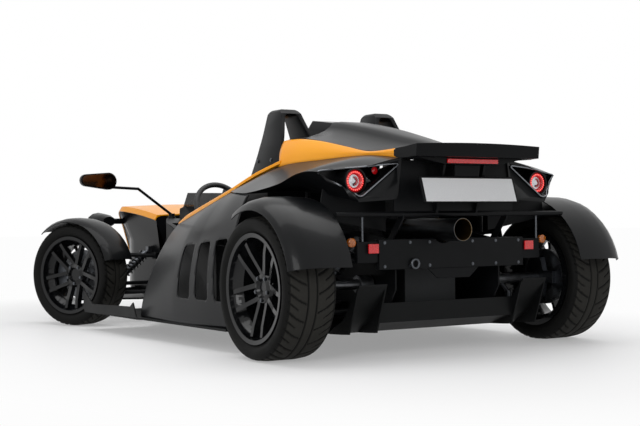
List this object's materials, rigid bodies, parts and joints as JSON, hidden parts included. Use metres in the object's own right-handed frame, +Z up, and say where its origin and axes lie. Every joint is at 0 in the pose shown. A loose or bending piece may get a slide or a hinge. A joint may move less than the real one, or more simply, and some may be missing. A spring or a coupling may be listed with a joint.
{
  "type": "open two-seat track sports car",
  "caption": "Low open roadster with separate wheel fenders, roll hoops and a snorkel engine cover; wheels spin and the front pair steers with rack and steering wheel.",
  "frame": {"origin": "on the ground under the middle of the car's bounding box", "axes": "+X forward, +Y to the car's left, +Z up"},
  "size_m": [3.738, 2.0979, 1.196],
  "materials": {
    "carbon_tub": "satin moulded carbon laminate",
    "satin_black": "satin black moulded panel",
    "gloss_black": "gloss black moulded panel",
    "orange_paint": "gloss orange moulded panel",
    "anthracite": "satin anthracite moulded panel",
    "hoop_paint": "satin black paint",
    "bare_metal": "machined",
    "dark_metal": "black coat",
    "cast_engine": "cast",
    "exhaust_steel": "heat stained",
    "damper_metal": "coated spring",
    "seat_cloth": "ribbed cloth",
    "lamp_lens": "clear",
    "tinted_screen": "tinted",
    "mirror_pane": "silvered",
    "plate_white": "blank white",
    "red_lens": "red lens",
    "rim_black": "gloss black",
    "tyre_rubber": "moulded",
    "disc_iron": "turned",
    "grip": "grip"
  },
  "bodies": {
    "chassis": {"tub": "carbon_tub", "floor_pan": "satin_black", "diffuser": "satin_black", "nose_body": "satin_black", "nose_top": "orange_paint", "front_splitter": "satin_black", "headlamps": "satin_black", "headlamp_lenses": "lamp_lens", "side_panel_left": "anthracite", "side_panel_right": "anthracite", "flank_left": "orange_paint", "flank_right": "orange_paint", "tail_pods": "gloss_black", "engine_cover": "satin_black", "rear_spoiler": "satin_black", "roll_hoops": "hoop_paint", "seat_shells": "carbon_tub", "seat_pads": "seat_cloth", "dashboard": "carbon_tub", "wind_deflector": "tinted_screen", "mirrors": "satin_black", "mirror_glass": "mirror_pane", "rear_fenders": "satin_black", "front_wishbones": "dark_metal", "rear_wishbones": "dark_metal", "dampers": "damper_metal", "engine_block": "cast_engine", "exhaust": "exhaust_steel", "rear_subframe": "dark_metal", "rear_panel": "satin_black", "plate_holder": "satin_black", "number_plate": "plate_white", "tail_lamps": "red_lens", "rear_markers": "red_lens", "radiators": "bare_metal", "rear_uprights": "bare_metal"},
    "knuckle_left": {"knuckle_left": "bare_metal", "front_fender_left": "satin_black"},
    "knuckle_right": {"knuckle_right": "bare_metal", "front_fender_right": "satin_black"},
    "wheel_front_left": {"tyre_front_left": "tyre_rubber", "rim_front_left": "rim_black", "disc_front_left": "disc_iron"},
    "wheel_front_right": {"tyre_front_right": "tyre_rubber", "rim_front_right": "rim_black", "disc_front_right": "disc_iron"},
    "wheel_rear_left": {"tyre_rear_left": "tyre_rubber", "rim_rear_left": "rim_black", "disc_rear_left": "disc_iron"},
    "wheel_rear_right": {"tyre_rear_right": "tyre_rubber", "rim_rear_right": "rim_black", "disc_rear_right": "disc_iron"},
    "steering_wheel": {"steering_wheel": "grip"},
    "rack": {"steering_rack": "dark_metal"}
  },
  "joints": [
    {"name": "steer_left", "type": "hinge", "parent": "chassis", "child": "knuckle_left", "pos_m": [1.007, 0.742, 0.306], "axis": [0, 0, 1], "range_deg": [-59, 7]},
    {"name": "steer_right", "type": "hinge", "parent": "chassis", "child": "knuckle_right", "pos_m": [1.007, -0.742, 0.306], "axis": [0, 0, 1], "range_deg": [-59.01, 7.01]},
    {"name": "rack_slide", "type": "slide", "parent": "chassis", "child": "rack", "axis": [0, 1, 0], "range_m": [-0.016, 0.119]},
    {"name": "steering_wheel_turn", "type": "hinge", "parent": "chassis", "child": "steering_wheel", "pos_m": [0.177, 0.27, 0.69], "axis": [-0.9135, 0, 0.4067], "range_deg": [-540, 70]},
    {"name": "spin_front_left", "type": "hinge", "parent": "knuckle_left", "child": "wheel_front_left", "pos_m": [0.97193, 0.8139, 0.306], "axis": [-0.4384, 0.8988, 0], "continuous": true},
    {"name": "spin_front_right", "type": "hinge", "parent": "knuckle_right", "child": "wheel_front_right", "pos_m": [1.04207, -0.8139, 0.306], "axis": [-0.4384, 0.8988, 0], "continuous": true},
    {"name": "spin_rear_left", "type": "hinge", "parent": "chassis", "child": "wheel_rear_left", "pos_m": [-1.423, 0.813, 0.319], "axis": [0, 1, 0], "continuous": true},
    {"name": "spin_rear_right", "type": "hinge", "parent": "chassis", "child": "wheel_rear_right", "pos_m": [-1.423, -0.813, 0.319], "axis": [0, 1, 0], "continuous": true}
  ],
  "couplings": [
    {"joint": "steer_right", "follows": "steer_left", "ratio": 1},
    {"joint": "rack_slide", "follows": "steer_left", "m_per_rad": -0.1135},
    {"joint": "steering_wheel_turn", "follows": "steer_left", "ratio": 9}
  ]
}
